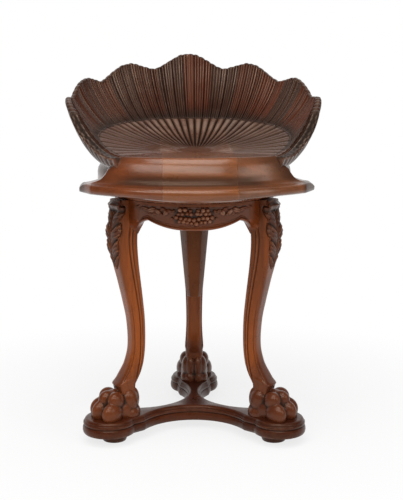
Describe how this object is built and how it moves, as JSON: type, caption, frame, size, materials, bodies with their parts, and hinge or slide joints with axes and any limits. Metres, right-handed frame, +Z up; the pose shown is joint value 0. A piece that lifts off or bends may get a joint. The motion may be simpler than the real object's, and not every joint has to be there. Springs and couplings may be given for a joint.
{
  "type": "revolving piano stool",
  "caption": "Revolving piano stool: a carved scallop-shell seat on a height screw, over carved aprons, cabriole legs with paw feet and a lobed platform on bun feet.",
  "frame": {"origin": "on the floor, on the axis that the seat turns about", "axes": "+Z up; the open front of the seat faces -Y; +X to the right as seen from the front"},
  "size_m": [0.4278, 0.4186, 0.6392],
  "materials": {
    "base_wood": "polished dark walnut",
    "leg_wood": "polished red-brown walnut",
    "apron_wood": "polished red-brown walnut",
    "seat_wood": "polished walnut, worn paler on the sitting surface",
    "shell_wood": "polished dark walnut",
    "hidden_wood": "bare wood",
    "iron": "dark and dull",
    "steel": "plain turned steel"
  },
  "bodies": {
    "frame": {"platform": "base_wood", "bun_foot_front_left": "base_wood", "bun_foot_front_right": "base_wood", "bun_foot_back": "base_wood", "leg_dowel_front_left": "hidden_wood", "leg_dowel_front_right": "hidden_wood", "leg_dowel_back": "hidden_wood", "leg_front_left": "leg_wood", "leg_front_right": "leg_wood", "leg_back": "leg_wood", "apron_front": "apron_wood", "apron_right": "apron_wood", "apron_left": "apron_wood", "top_board": "apron_wood", "top_board_screw_1": "steel", "top_board_screw_2": "steel", "top_board_screw_3": "steel", "top_board_screw_4": "steel", "top_board_screw_5": "steel", "top_board_screw_6": "steel", "screw_housing": "base_wood", "screw_nut": "iron", "nut_screw_1": "steel", "nut_screw_2": "steel", "nut_screw_3": "steel", "nut_screw_4": "steel"},
    "lift": {"stop_washer": "steel"},
    "seat": {"seat_plank_centre": "seat_wood", "seat_plank_left": "seat_wood", "seat_plank_right": "seat_wood", "shell_stave_centre": "shell_wood", "shell_stave_left_back": "shell_wood", "shell_stave_right_back": "shell_wood", "shell_stave_left_side": "shell_wood", "shell_stave_right_side": "shell_wood", "shell_stave_left_front": "shell_wood", "shell_stave_right_front": "shell_wood", "seat_plate": "iron", "plate_screw_1": "steel", "plate_screw_2": "steel", "plate_screw_3": "steel", "plate_screw_4": "steel", "plate_screw_5": "steel", "plate_screw_6": "steel", "plate_screw_7": "steel", "plate_screw_8": "steel", "seat_screw": "steel", "stop_bolt": "steel"}
  },
  "joints": [
    {"name": "seat_lift", "type": "slide", "parent": "frame", "child": "lift", "axis": [0, 0, 1], "range_m": [0, 0.0801]},
    {"name": "seat_turn", "type": "hinge", "parent": "lift", "child": "seat", "pos_m": [0, 0, 0], "axis": [0, 0, 1], "range_deg": [0, 3600]}
  ],
  "couplings": [
    {"joint": "seat_lift", "follows": "seat_turn", "m_per_rad": 0.0012732}
  ]
}
